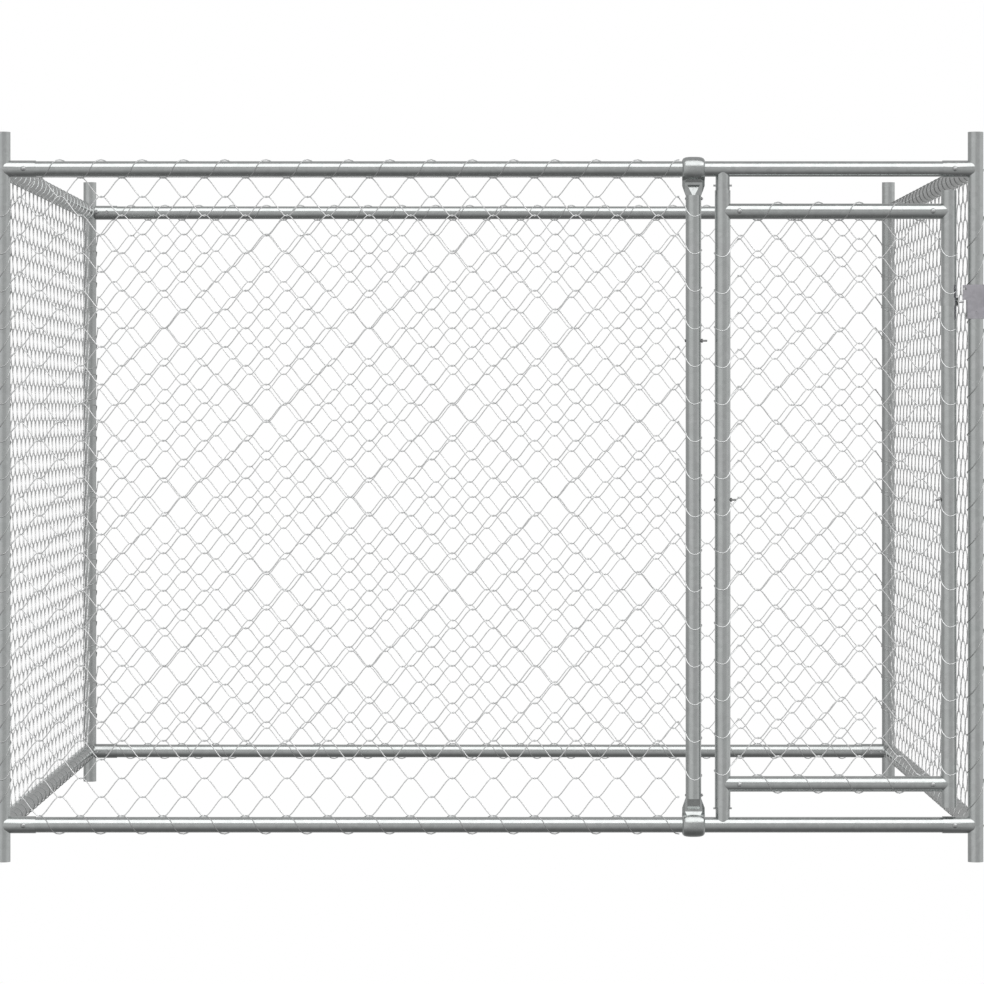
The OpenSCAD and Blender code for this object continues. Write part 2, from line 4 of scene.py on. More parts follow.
import bmesh
import bpy
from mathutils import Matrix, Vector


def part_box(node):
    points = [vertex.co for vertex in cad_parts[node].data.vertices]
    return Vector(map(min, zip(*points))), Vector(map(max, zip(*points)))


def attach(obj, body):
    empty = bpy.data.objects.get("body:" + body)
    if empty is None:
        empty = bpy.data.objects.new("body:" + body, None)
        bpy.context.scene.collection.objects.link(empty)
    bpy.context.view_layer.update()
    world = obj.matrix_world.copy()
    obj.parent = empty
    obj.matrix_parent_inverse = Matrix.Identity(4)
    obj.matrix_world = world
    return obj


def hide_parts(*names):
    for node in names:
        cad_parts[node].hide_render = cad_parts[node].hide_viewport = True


bl_info = {
    "name": "Kennel run dressing",
    "version": (1, 0, 0),
    "blender": (4, 5, 0),
    "location": "View3D > Sidebar > Kennel",
    "description": "Weaves the chain link of an outdoor kennel run and gives its steel a zinc finish",
    "category": "Object",
}

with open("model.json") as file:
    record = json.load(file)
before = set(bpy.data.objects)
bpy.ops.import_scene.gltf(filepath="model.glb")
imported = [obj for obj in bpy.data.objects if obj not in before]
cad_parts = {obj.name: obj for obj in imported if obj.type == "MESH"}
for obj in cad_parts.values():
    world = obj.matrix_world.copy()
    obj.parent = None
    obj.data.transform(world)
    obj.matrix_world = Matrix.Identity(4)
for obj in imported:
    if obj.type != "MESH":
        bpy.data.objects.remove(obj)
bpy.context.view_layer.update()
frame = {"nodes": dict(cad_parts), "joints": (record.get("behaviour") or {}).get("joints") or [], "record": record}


def middle(node):
    """Middle of a CAD node's box."""
    low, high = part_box(node)
    return (low + high) / 2


# Places that the frame gives
RAIL_R = (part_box("rail_front_top")[1].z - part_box("rail_front_top")[0].z) / 2
WALL = middle("rail_right_top").x
RAIL_LOW = middle("rail_front_bottom").z
RAIL_HIGH = middle("rail_front_top").z
MID_POST = middle("mid_post").x
HINGE_STILE = next(j for j in frame["joints"] if j["name"] == "door_hinge")["pos_m"][0]
LATCH_STILE = middle("latch_band").x
DOOR_LOW = middle("door_rail_bottom").z
DOOR_HIGH = middle("door_rail_top").z

# Distances of the wire work, in metres
SOCKET_REACH = 0.068    # from a corner post's axis to the mouths of its rail sockets
SOCKET_GAP = 0.004      # from a socket's mouth to the first turn of lacing
TUBE_GAP = 0.0002       # between a tube and the wire wound round it
LOOP_SAG = 0.003        # by which the loops on the frame hang below a row of knots
TAIL_RUN = 0.002        # from the end knot of a row to the tails of a loop
TAIL_RISE = 0.0005      # by which a loop's tails stand off the height of their knot
TENSION_DROP = 0.0011   # from the top rail's underside to the tension wire
TENSION_OUT = 0.004     # from the middle of the wall to the tension wire

# Shares and counts of the wire work
INTERLOCK = 0.525       # share of the wire's diameter by which a spiral reaches past its row
BEND_SHARE = 0.45       # most that a bend takes of a straight stretch
CONTACT_SHADE_REACH = 0.75        # length darkened by painted shade to either side of a knot, as a share of its flat turn
FIRST_LOOP_ROW = 3      # row of the lowest loop on the frame, where the lowest row isn't turned
DOOR_LOOP_ROW = 1       # row of the lowest loop on the door
LACING_STEPS = 16       # points in one turn of lacing


class Wall:
    """One chain-link wall: where it hangs and how its diamonds fall.

    Its run is measured to the right, seen from outside. Knots are the two ends of a row, turned is 1 where
    the lowest row is upside down, and laced is the stretch of rail that carries lacing.
    """

    def __init__(self, name, body, facing, rails, posts, knots, columns, rows, turned, laced):
        self.name = name
        self.body = body
        self.facing = facing
        self.rails = rails
        self.posts = posts
        self.first = knots[0]
        self.columns = columns
        self.pitch = (knots[1] - knots[0]) / columns
        self.rows = rows
        self.turned = turned
        self.laced = laced
        self.wrapped = name in ("right", "left")
        self.loops_inside = name == "left"
        self.loop_sag = 0.0 if name == "door" else LOOP_SAG
        self.first_loop = DOOR_LOOP_ROW if name == "door" else FIRST_LOOP_ROW - turned
        # The right wall's lacing takes a darker colour as painted shade; the front, rear and door lacing takes
        # painted shade where it bears on its rail
        self.lacing_coat = {"left": "tube_zinc", "right": "lacing_zinc"}.get(name, "contact_shaded_wire_zinc")

    def row_span(self, rail_gap):
        """Height of the lowest row of knots, and the height of one row."""
        low = self.rails[0] + RAIL_R + rail_gap
        high = self.rails[1] - RAIL_R - rail_gap
        return low, (high - low) / self.rows

    def loop_coat(self, post):
        """Name of the finish of the loops on one of the wall's posts."""
        # Wraps on the side walls take the darker lacing colour, and loops on corner posts are darkened: both are
        # painted shade
        if self.wrapped:
            return "lacing_zinc"
        return "contact_shaded_wire_zinc" if abs(post) == WALL else "loop_zinc"


FULL_RAILS = (RAIL_LOW, RAIL_HIGH)
DOOR_RAILS = (DOOR_LOW, DOOR_HIGH)
LACED_FULL = (SOCKET_REACH + SOCKET_GAP - WALL, WALL - SOCKET_REACH - SOCKET_GAP)
WALLS = [
    Wall("front", "frame", facing=0, rails=FULL_RAILS, posts=(-WALL, MID_POST), knots=(-0.9670, 0.3906),
         columns=16, rows=34, turned=0, laced=(LACED_FULL[0], 0.3930)),
    Wall("right", "frame", facing=90, rails=FULL_RAILS, posts=(-WALL, WALL), knots=(-0.9687, 0.9687),
         columns=23, rows=34, turned=1, laced=LACED_FULL),
    Wall("rear", "frame", facing=180, rails=FULL_RAILS, posts=(-WALL, WALL), knots=(-0.9698, 0.9813),
         columns=23, rows=34, turned=0, laced=LACED_FULL),
    Wall("left", "frame", facing=270, rails=FULL_RAILS, posts=(-WALL, WALL), knots=(-0.9687, 0.9687),
         columns=23, rows=34, turned=1, laced=LACED_FULL),
    Wall("door", "door", facing=0, rails=DOOR_RAILS, posts=(HINGE_STILE, LATCH_STILE),
         knots=(0.5109, 0.9279), columns=5, rows=30, turned=0, laced=(0.5210, 0.8960)),
]


class KennelWireSettings(bpy.types.PropertyGroup):
    """Sizes of the chain link, its lacing and its loops"""
    wire_d: bpy.props.FloatProperty(
        name="Wire diameter", description="Diameter of the chain-link wire",
        default=0.0023, unit="LENGTH", precision=4)
    sides: bpy.props.IntProperty(
        name="Sides", description="Sides of the wire's cross-section", default=6, min=5, max=12)
    knot_flat: bpy.props.FloatProperty(
        name="Knot flat", description="Length of the flat turn at each knot",
        default=0.012, unit="LENGTH", precision=4)
    knot_depth: bpy.props.FloatProperty(
        name="Knot depth", description="Distance of each diagonal from the middle of the wall",
        default=0.0021, unit="LENGTH", precision=4)
    bend: bpy.props.FloatProperty(
        name="Bend", description="Length of wire taken up by the bend at a knot's corner",
        default=0.012, unit="LENGTH", precision=4)
    rail_gap: bpy.props.FloatProperty(
        name="Rail gap", description="Distance from a rail to the first row of knots",
        default=0.0026, unit="LENGTH", precision=4)
    lacing_slack: bpy.props.FloatProperty(
        name="Lacing slack", description="How far the lacing bulges above and below its rail",
        default=0.0016, unit="LENGTH", precision=4)
    lacing_dwell: bpy.props.FloatProperty(
        name="Lacing dwell",
        description="Share of a diamond by which the lacing lingers above and below its rail",
        default=0.03, min=0.0, max=0.07)
    tension_d: bpy.props.FloatProperty(
        name="Tension wire diameter",
        description="Diameter of the straight wire under the front top rail",
        default=0.0016, unit="LENGTH", precision=4)


class KennelFinishSettings(bpy.types.PropertyGroup):
    """Colours of the zinc on each kind of piece"""
    tube_colour: bpy.props.FloatVectorProperty(
        name="Tube", description="Colour of the galvanised tube",
        subtype="COLOR", default=(0.62, 0.64, 0.635), min=0, max=1)
    clamp_colour: bpy.props.FloatVectorProperty(
        name="Clamps", description="Colour of the cast tee clamps",
        subtype="COLOR", default=(0.55, 0.57, 0.565), min=0, max=1)
    bolt_colour: bpy.props.FloatVectorProperty(
        name="Bolts", description="Colour of bolts, nuts and pins",
        subtype="COLOR", default=(0.56, 0.57, 0.57), min=0, max=1)
    plate_colour: bpy.props.FloatVectorProperty(
        name="Latch keeper", description="Colour of the latch keeper",
        subtype="COLOR", default=(0.58, 0.565, 0.605), min=0, max=1)
    tie_bolt_colour: bpy.props.FloatVectorProperty(
        name="Tie bolts", description="Colour of the dark tie bolts through the middle post and the stiles",
        subtype="COLOR", default=(0.34, 0.345, 0.345), min=0, max=1)
    # Near white: painted light that offsets the shade on the thumb plate where it faces the stile; the latch rod
    # shares it
    lifted_rod_colour: bpy.props.FloatVectorProperty(
        name="Latch rod", description="Colour of the bright latch rod and its thumb plate",
        subtype="COLOR", default=(0.98, 0.985, 0.985), min=0, max=1)
    # Near white: painted light that lifts the chain link, as if its diagonals caught light from the sides
    lifted_wire_colour: bpy.props.FloatVectorProperty(
        name="Wire", description="Colour of the chain link",
        subtype="COLOR", default=(0.99, 1.0, 1.0), min=0, max=1)
    loop_colour: bpy.props.FloatVectorProperty(
        name="Loops", description="Colour of the wire loops, and of the lacing at the front, rear and door",
        subtype="COLOR", default=(0.86, 0.87, 0.87), min=0, max=1)
    # Darker than the wire: painted shade for the lacing's windings and for the wraps on corner posts
    lacing_colour: bpy.props.FloatVectorProperty(
        name="Lacing", description="Colour of the right wall's lacing and of the wraps on corner posts",
        subtype="COLOR", default=(0.52, 0.53, 0.525), min=0, max=1)


class KennelStageSettings(bpy.types.PropertyGroup):
    """Camera and floor"""
    camera_distance: bpy.props.FloatProperty(
        name="Camera distance", description="Distance from the camera to the front wall",
        default=9.153, unit="LENGTH")
    camera_height: bpy.props.FloatProperty(
        name="Camera height", description="Height of the camera above the floor",
        default=0.922, unit="LENGTH")
    lens: bpy.props.FloatProperty(
        name="Lens", description="Focal length on a 36 mm sensor", default=162.9, unit="CAMERA")
    floor_side: bpy.props.FloatProperty(
        name="Floor side", description="Side of the square floor", default=60.0, unit="LENGTH")
    floor_colour: bpy.props.FloatVectorProperty(
        name="Floor", description="Colour of the floor and of the backdrop",
        subtype="COLOR", default=(1, 1, 1), min=0, max=1)


def link(tree, pairs):
    """Joins sockets given as (output, input) pairs."""
    for out_socket, in_socket in pairs:
        tree.links.new(out_socket, in_socket)


def add_node(tree, kind, **values):
    """Adds a node. Values named like an input socket are set there, the others as properties."""
    node = tree.nodes.new(kind)
    for name, value in values.items():
        label = name.replace("_", " ").title()
        if hasattr(node, name) and label not in node.inputs:
            setattr(node, name, value)
        else:
            node.inputs[label].default_value = value
    return node


def combine(tree, operation, *values):
    """Result of a math node on sockets or numbers."""
    node = add_node(tree, "ShaderNodeMath", operation=operation)
    for socket, value in zip(node.inputs, values):
        if isinstance(value, (int, float)):
            socket.default_value = value
        else:
            tree.links.new(value, socket)
    return node.outputs[0]


def curve_step(tree, value, low, high, top=1.0):
    """A smooth step of a value from 0 at low to top at high."""
    node = add_node(tree, "ShaderNodeMapRange", interpolation_type="SMOOTHSTEP")
    node.inputs["From Min"].default_value = low
    node.inputs["From Max"].default_value = high
    node.inputs["To Max"].default_value = top
    tree.links.new(value, node.inputs["Value"])
    return node.outputs["Result"]


WIRE_INPUTS = [
    ("Wire Radius", "NodeSocketFloat", 0.001),
    ("Sides", "NodeSocketInt", 6),
    ("Rows", "NodeSocketInt", 1),
    ("First Row", "NodeSocketFloat", 0.0),
    ("Row Step", "NodeSocketFloat", 0.0),
    ("Turned Rows", "NodeSocketInt", 0),
    ("Turn", "NodeSocketFloat", 0.0),
    ("Reach", "NodeSocketFloat", 1.0),
    ("Facing", "NodeSocketFloat", 0.0),
    ("Finish", "NodeSocketMaterial", None),
]


def wire_rows_tree():
    """Geometry nodes that sweep a path into wire, repeat it up a wall and stand the wall in its place."""
    tree = bpy.data.node_groups.get("wire_rows")
    if tree:
        return tree
    tree = bpy.data.node_groups.new("wire_rows", "GeometryNodeTree")
    tree.is_modifier = True
    tree.interface.new_socket("Path", in_out="INPUT", socket_type="NodeSocketGeometry")
    for name, kind, default in WIRE_INPUTS:
        socket = tree.interface.new_socket(name, in_out="INPUT", socket_type=kind)
        if default is not None:
            socket.default_value = default
    tree.interface.new_socket("Wire", in_out="OUTPUT", socket_type="NodeSocketGeometry")
    given = add_node(tree, "NodeGroupInput").outputs
    result = add_node(tree, "NodeGroupOutput")
    path = add_node(tree, "GeometryNodeMeshToCurve")
    section = add_node(tree, "GeometryNodeCurvePrimitiveCircle", mode="RADIUS")
    sweep = add_node(tree, "GeometryNodeCurveToMesh")
    sweep.inputs["Fill Caps"].default_value = True
    start = add_node(tree, "ShaderNodeCombineXYZ")
    step = add_node(tree, "ShaderNodeCombineXYZ")
    rows = add_node(tree, "GeometryNodeMeshLine", mode="OFFSET")
    index = add_node(tree, "GeometryNodeInputIndex")
    counted = combine(tree, "ADD", index.outputs[0], given["Turned Rows"])
    odd = combine(tree, "MODULO", counted, 2)
    angle = combine(tree, "MULTIPLY", odd, given["Turn"])
    turn = add_node(tree, "ShaderNodeCombineXYZ")
    place = add_node(tree, "GeometryNodeInstanceOnPoints")
    inward = combine(tree, "MULTIPLY", given["Reach"], -1)
    facing = add_node(tree, "ShaderNodeCombineXYZ")
    stand = add_node(tree, "GeometryNodeTransform")
    real = add_node(tree, "GeometryNodeRealizeInstances")
    smooth = add_node(tree, "GeometryNodeSetShadeSmooth")
    coat = add_node(tree, "GeometryNodeSetMaterial")
    link(tree, [
        (given["Path"], path.inputs["Mesh"]),
        (given["Sides"], section.inputs["Resolution"]),
        (given["Wire Radius"], section.inputs["Radius"]),
        (path.outputs["Curve"], sweep.inputs["Curve"]),
        (section.outputs["Curve"], sweep.inputs["Profile Curve"]),
        (inward, start.inputs["Y"]),
        (given["First Row"], start.inputs["Z"]),
        (given["Row Step"], step.inputs["Z"]),
        (given["Rows"], rows.inputs["Count"]),
        (start.outputs[0], rows.inputs["Start Location"]),
        (step.outputs[0], rows.inputs["Offset"]),
        (angle, turn.inputs["X"]),
        (rows.outputs["Mesh"], place.inputs["Points"]),
        (sweep.outputs["Mesh"], place.inputs["Instance"]),
        (turn.outputs[0], place.inputs["Rotation"]),
        (given["Facing"], facing.inputs["Z"]),
        (place.outputs["Instances"], stand.inputs["Geometry"]),
        (facing.outputs[0], stand.inputs["Rotation"]),
        (stand.outputs["Geometry"], real.inputs["Geometry"]),
        (real.outputs["Geometry"], smooth.inputs["Geometry"]),
        (smooth.outputs["Geometry"], coat.inputs["Geometry"]),
        (given["Finish"], coat.inputs["Material"]),
        (coat.outputs["Geometry"], result.inputs["Wire"]),
    ])
    return tree


def path_mesh(name, paths, closed, contact_shade):
    """A mesh of edges only, one chain for each path, with how much painted shade the wire takes at each point."""
    points, edges = [], []
    for path in paths:
        first = len(points)
        points += path
        edges += [(i, i + 1) for i in range(first, len(points) - 1)]
        if closed:
            edges.append((len(points) - 1, first))
    mesh = bpy.data.meshes.new(name)
    mesh.from_pydata(points, edges, [])
    if contact_shade:
        mesh.attributes.new("contact_shade", "FLOAT", "POINT").data.foreach_set("value", contact_shade)
    return mesh


def make_wire(name, wall, paths, coat="wire_zinc", closed=False, contact_shade=None, **inputs):
    """Sweeps the paths of one wall into a plain mesh that rides on the wall's body."""
    thing = bpy.data.objects.new(name, path_mesh(name + "_path", paths, closed, contact_shade))
    bpy.context.scene.collection.objects.link(thing)
    tree = wire_rows_tree()
    modifier = thing.modifiers.new("wire_rows", "NODES")
    modifier.node_group = tree
    values = {"Facing": math.radians(wall.facing), "Reach": WALL, "Finish": finish(coat)}
    values.update({key.replace("_", " ").title(): value for key, value in inputs.items()})
    for item in tree.interface.items_tree:
        if item.in_out == "INPUT" and item.name in values:
            modifier[item.identifier] = values[item.name]
    ready = thing.evaluated_get(bpy.context.evaluated_depsgraph_get())
    mesh = bpy.data.meshes.new_from_object(ready)
    if not mesh.polygons:
        raise RuntimeError(f"{name} came out empty")
    thing.modifiers.remove(modifier)
    path = thing.data
    thing.data = mesh
    mesh.name = name
    bpy.data.meshes.remove(path)
    thing.visible_glossy = False
    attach(thing, wall.body)
    return thing


def softened(points, cut):
    """The path with each inner corner replaced by a short three-point bend."""
    bent = [points[0]]
    for before, corner, after in zip(points, points[1:], points[2:]):
        ends = []
        for other in (before, after):
            share = min(cut / math.dist(corner, other), BEND_SHARE)
            ends.append([c + (o - c) * share for c, o in zip(corner, other)])
        mid = [(a + b) / 4 + c / 2 for a, b, c in zip(ends[0], ends[1], corner)]
        bent += [ends[0], mid, ends[1]]
    bent.append(points[-1])
    return [tuple(p) for p in bent]


def zigzag(wall, settings, row_height):
    """One flattened spiral: diagonals at the front and at the back by turns, with flat turns between."""
    rise = row_height / 2 + settings.wire_d * INTERLOCK
    flat = settings.knot_flat / 2
    deep = settings.knot_depth
    points = [(wall.first, 0, rise)]
    for column in range(wall.columns):
        top = wall.first + column * wall.pitch
        low = top + wall.pitch / 2
        points += [
            (top + flat, deep, rise), (low - flat, deep, -rise),
            (low + flat, -deep, -rise), (top + wall.pitch - flat, -deep, rise),
        ]
    points.append((wall.first + wall.columns * wall.pitch, 0, rise))
    return softened(points, settings.bend)


def knot_contact_shade(wall, settings, run):
    """1 where a wire bears on its neighbour in a knot and takes painted shade, 0 on the diagonals between."""
    step = wall.pitch / 2
    aside = abs((run - wall.first + step / 2) % step - step / 2)
    return 1.0 if aside < CONTACT_SHADE_REACH * settings.knot_flat else 0.0


def lacing(wall, settings, rail, side):
    """A wire wound round one rail, once for each diamond. Side is 1 on a low rail and -1 on a high one."""
    knot = wall.first + (0 if wall.turned else wall.pitch / 2)
    radius = RAIL_R + settings.wire_d / 2 + TUBE_GAP
    points = []
    for i in range(-LACING_STEPS, (wall.columns + 1) * LACING_STEPS):
        turn = 2 * math.pi * i / LACING_STEPS
        run = knot + wall.pitch * (i / LACING_STEPS + settings.lacing_dwell * math.sin(2 * turn))
        out = radius + settings.lacing_slack * math.cos(turn) ** 2
        if wall.laced[0] <= run <= wall.laced[1]:
            points.append((run, -out * math.sin(turn), rail + side * out * math.cos(turn)))
    return points


def lacing_contact_shade(path):
    """1 where the lacing bears on the front or the back of its rail and takes painted shade, 0 above and below it.
    """
    return [1.0 if abs(aside) > RAIL_R / 2 else 0.0 for _, aside, _ in path]


# Degrees round a post from its near side, and the height there as a share of the drop
LOOP_SHAPE = [
    (75, 0.50), (50, 0.27), (25, 0.08), (0, 0.0), (-25, 0.03), (-50, 0.12), (-75, 0.19), (-100, 0.24),
    (-130, 0.28), (-160, 0.33), (-190, 0.38), (-220, 0.43), (-250, 0.48), (-268, 0.51),
]
WRAP_SHAPE = [
    (60, 1.0), (30, 0.99), (0, 0.96), (-25, 0.86), (-50, 0.67), (-75, 0.52), (-90, 0.435), (-105, 0.35),
    (-120, 0.28), (-145, 0.21), (-180, 0.16), (-215, 0.12), (-250, 0.06), (-268, 0.02),
]


def post_loop(wall, settings, post, row_height):
    """Wire from a knot at height 0 round a post's near side, and back behind it or on to a knot below."""
    radius = RAIL_R + settings.wire_d / 2 + TUBE_GAP
    side = 1 if post < wall.first else -1
    near = 1 if wall.loops_inside else -1
    knot = wall.first if side > 0 else wall.first + wall.columns * wall.pitch
    drop = 2 * row_height if wall.wrapped else row_height + wall.loop_sag
    points = [(knot + side * TAIL_RUN, near * settings.knot_depth, -TAIL_RISE)]
    for degrees, height in WRAP_SHAPE if wall.wrapped else LOOP_SHAPE:
        turn = math.radians(degrees)
        points.append((
            post + side * radius * math.sin(turn), near * radius * math.cos(turn), drop * (height - 1)))
    end = -drop if wall.wrapped else 0.0
    points.append((knot + side * TAIL_RUN, -near * settings.knot_depth, end + TAIL_RISE))
    return points


ZINC_INPUTS = [
    ("Colour", "NodeSocketColor", (0.6, 0.6, 0.6, 1)),
    ("Spangle Scale", "NodeSocketFloat", 120.0),
    ("Spangle", "NodeSocketFloat", 0.06),
    ("Tint", "NodeSocketFloat", 0.5),
    ("Gloss", "NodeSocketFloat", 0.2),
    ("Grain", "NodeSocketFloat", 0.05),
    # The last two inputs are amounts of painted shade: where wires bear on each other or on a tube, and below the
    # top rail
    ("Contact Shade", "NodeSocketFloat", 0.0),
    ("Net Shade", "NodeSocketFloat", 0.0),
]
ZINC_OUTPUTS = [
    ("Colour", "NodeSocketColor"),
    ("Roughness", "NodeSocketFloat"),
    ("Normal", "NodeSocketVector"),
]
COOL_TINT = (0.97, 1.0, 0.985, 1)
WARM_TINT = (1.0, 0.975, 0.99, 1)
SMOOTH_SPANGLE = 0.8    # roughness of the smoothest spangles, as a share of the finish's own
DULL_SPANGLE = 1.25     # and that of the dullest ones


def zinc_coat_group():
    """Shader group: spangled zinc, patchy in tint and gloss, with grain, painted shade where wires bear on each
    other or on a tube, and painted shade below the top rail.
    """
    group = bpy.data.node_groups.get("zinc_coat")
    if group:
        return group
    group = bpy.data.node_groups.new("zinc_coat", "ShaderNodeTree")
    for name, kind, default in ZINC_INPUTS:
        group.interface.new_socket(name, in_out="INPUT", socket_type=kind).default_value = default
    for name, kind in ZINC_OUTPUTS:
        group.interface.new_socket(name, in_out="OUTPUT", socket_type=kind)
    given = add_node(group, "NodeGroupInput").outputs
    result = add_node(group, "NodeGroupOutput").inputs
    where = add_node(group, "ShaderNodeTexCoord").outputs["Object"]
    axes = add_node(group, "ShaderNodeSeparateXYZ")
    spangle = add_node(group, "ShaderNodeTexVoronoi")
    patch = add_node(group, "ShaderNodeTexNoise", scale=14.0, detail=3.0, roughness=0.55)
    grain = add_node(group, "ShaderNodeTexNoise", scale=900.0, detail=2.0)
    parts = add_node(group, "ShaderNodeSeparateColor")
    tint = add_node(group, "ShaderNodeMix", data_type="RGBA")
    tint.inputs[6].default_value = COOL_TINT
    tint.inputs[7].default_value = WARM_TINT
    tinted = add_node(group, "ShaderNodeMix", data_type="RGBA", blend_type="MULTIPLY")
    shade = add_node(group, "ShaderNodeMapRange")
    # Painted shade: darkens the wire where its attribute marks it bearing on a neighbour or a tube
    contact_shade = add_node(group, "ShaderNodeAttribute", attribute_name="contact_shade").outputs["Fac"]
    unshaded_by_contact = combine(group, "SUBTRACT", 1, combine(group, "MULTIPLY", contact_shade, given["Contact Shade"]))
    # Painted shade: darker below the top rail, where the nets and the front posts shade the rear posts
    net_shade_mask = curve_step(group, axes.outputs["Z"], RAIL_HIGH + RAIL_R, RAIL_HIGH - RAIL_R)
    unshaded_by_nets = combine(group, "SUBTRACT", 1, combine(group, "MULTIPLY", net_shade_mask, given["Net Shade"]))
    bright = combine(group, "MULTIPLY", shade.outputs["Result"], unshaded_by_contact)
    bright = combine(group, "MULTIPLY", bright, unshaded_by_nets)
    shaded = add_node(group, "ShaderNodeVectorMath", operation="SCALE")
    rough = add_node(group, "ShaderNodeMapRange")
    bump = add_node(group, "ShaderNodeBump", distance=0.0005)
    link(group, [
        (where, axes.inputs[0]),
        (where, spangle.inputs["Vector"]),
        (where, patch.inputs["Vector"]),
        (where, grain.inputs["Vector"]),
        (given["Spangle Scale"], spangle.inputs["Scale"]),
        (spangle.outputs["Color"], parts.inputs["Color"]),
        (parts.outputs["Red"], shade.inputs["Value"]),
        (combine(group, "SUBTRACT", 1, given["Spangle"]), shade.inputs["To Min"]),
        (combine(group, "ADD", 1, given["Spangle"]), shade.inputs["To Max"]),
        (patch.outputs["Fac"], tint.inputs["Factor"]),
        (given["Tint"], tinted.inputs["Factor"]),
        (given["Colour"], tinted.inputs[6]),
        (tint.outputs[2], tinted.inputs[7]),
        (tinted.outputs[2], shaded.inputs[0]),
        (bright, shaded.inputs["Scale"]),
        (shaded.outputs[0], result["Colour"]),
        (parts.outputs["Green"], rough.inputs["Value"]),
        (combine(group, "MULTIPLY", given["Gloss"], SMOOTH_SPANGLE), rough.inputs["To Min"]),
        (combine(group, "MULTIPLY", given["Gloss"], DULL_SPANGLE), rough.inputs["To Max"]),
        (rough.outputs["Result"], result["Roughness"]),
        (given["Grain"], bump.inputs["Strength"]),
        (grain.outputs["Fac"], bump.inputs["Height"]),
        (bump.outputs["Normal"], result["Normal"]),
    ])
    return group


TUBE_COAT = {"Spangle Scale": 110.0, "Spangle": 0.05, "Tint": 0.8, "Gloss": 0.17, "Grain": 0.02}
CLAMP_COAT = {"Spangle Scale": 160.0, "Spangle": 0.05, "Tint": 0.6, "Gloss": 0.24, "Grain": 0.12}
BOLT_COAT = {"Spangle Scale": 300.0, "Spangle": 0.03, "Tint": 0.3, "Gloss": 0.36, "Grain": 0.02}
PLATE_COAT = {"Spangle Scale": 130.0, "Spangle": 0.06, "Tint": 0.8, "Gloss": 0.42, "Grain": 0.05}
WIRE_COAT = {"Spangle Scale": 300.0, "Spangle": 0.04, "Tint": 0.4, "Gloss": 0.30, "Grain": 0.0}
FINISHES = {
    "tube_zinc": ("tube_colour", TUBE_COAT),
    # Rear posts: painted shade below the top rail
    "net_shaded_rear_post_zinc": ("tube_colour", {**TUBE_COAT, "Net Shade": 0.15}),
    "clamp_zinc": ("clamp_colour", CLAMP_COAT),
    "bolt_zinc": ("bolt_colour", BOLT_COAT),
    "tie_bolt_zinc": ("tie_bolt_colour", BOLT_COAT),
    "rod_zinc": ("lifted_rod_colour", BOLT_COAT),
    "plate_zinc": ("plate_colour", PLATE_COAT),
    # The knots of the chain link take a little painted shade; loops on corner posts and the lacing take more
    "wire_zinc": ("lifted_wire_colour", {**WIRE_COAT, "Contact Shade": 0.06}),
    "loop_zinc": ("loop_colour", WIRE_COAT),
    "contact_shaded_wire_zinc": ("loop_colour", {**WIRE_COAT, "Contact Shade": 0.42}),
    # Darker lacing colour: painted shade
    "lacing_zinc": ("lacing_colour", WIRE_COAT),
}


def finish(name):
    """The metal finish of that name, made once."""
    ready = bpy.data.materials.get(name)
    if ready:
        return ready
    colour, coat = FINISHES[name]
    material = bpy.data.materials.new(name)
    material.use_nodes = True
    tree = material.node_tree
    surface = tree.nodes["Principled BSDF"]
    surface.inputs["Metallic"].default_value = 1.0
    zinc = add_node(tree, "ShaderNodeGroup", node_tree=zinc_coat_group())
    zinc.inputs["Colour"].default_value = (*getattr(bpy.context.scene.kennel_finish, colour), 1)
    for socket, value in coat.items():
        zinc.inputs[socket].default_value = value
    link(tree, [
        (zinc.outputs["Colour"], surface.inputs["Base Color"]),
        (zinc.outputs["Roughness"], surface.inputs["Roughness"]),
        (zinc.outputs["Normal"], surface.inputs["Normal"]),
    ])
    return material


SLOT_FINISH = {
    "galvanised_tube": "tube_zinc",
    "cast_clamp": "clamp_zinc",
    "zinc_fastener": "bolt_zinc",
    "latch_plate": "plate_zinc",
    "chain_link": "wire_zinc",
}
# Nodes whose finish isn't the one of their slot
NODE_FINISH = {
    "post_rear_left": "net_shaded_rear_post_zinc",
    "post_rear_right": "net_shaded_rear_post_zinc",
    "mid_post_bolt": "tie_bolt_zinc",
    "mid_post_nut": "tie_bolt_zinc",
    "stile_bolts": "tie_bolt_zinc",
    "stile_nuts": "tie_bolt_zinc",
    # Latch rod and thumb plate: lifted colour, painted light
    "latch_rod": "rod_zinc",
    "latch_thumb_plate": "rod_zinc",
}


class KENNEL_OT_steel_finish(bpy.types.Operator):
    """Give every piece of the frame, the door and the latch its zinc finish"""
    bl_idname = "kennel.steel_finish"
    bl_label = "Steel finish"

    def execute(self, context):
        for part in frame["record"]["subparts"]:
            mesh = frame["nodes"][part["node"]].data
            mesh.materials.clear()
            coat = NODE_FINISH.get(part["node"], SLOT_FINISH[part["material_slot"]])
            mesh.materials.append(finish(coat))
        return {"FINISHED"}


class KENNEL_OT_chain_link(bpy.types.Operator):
    """Weave the chain link of the four walls and the door"""
    bl_idname = "kennel.chain_link"
    bl_label = "Chain link"

    def execute(self, context):
        settings = context.scene.kennel_wire
        for wall in WALLS:
            low, height = wall.row_span(settings.rail_gap)
            path = zigzag(wall, settings, height)
            # Painted shade at the knots, where the wires bear on each other
            links = make_wire(
                "links_" + wall.name, wall, [path],
                contact_shade=[knot_contact_shade(wall, settings, run) for run, _, _ in path],
                wire_radius=settings.wire_d / 2, sides=settings.sides, rows=wall.rows,
                first_row=low + height / 2, row_step=height, turned_rows=wall.turned, turn=math.pi)
            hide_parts("mesh_" + wall.name)
        return {"FINISHED"}


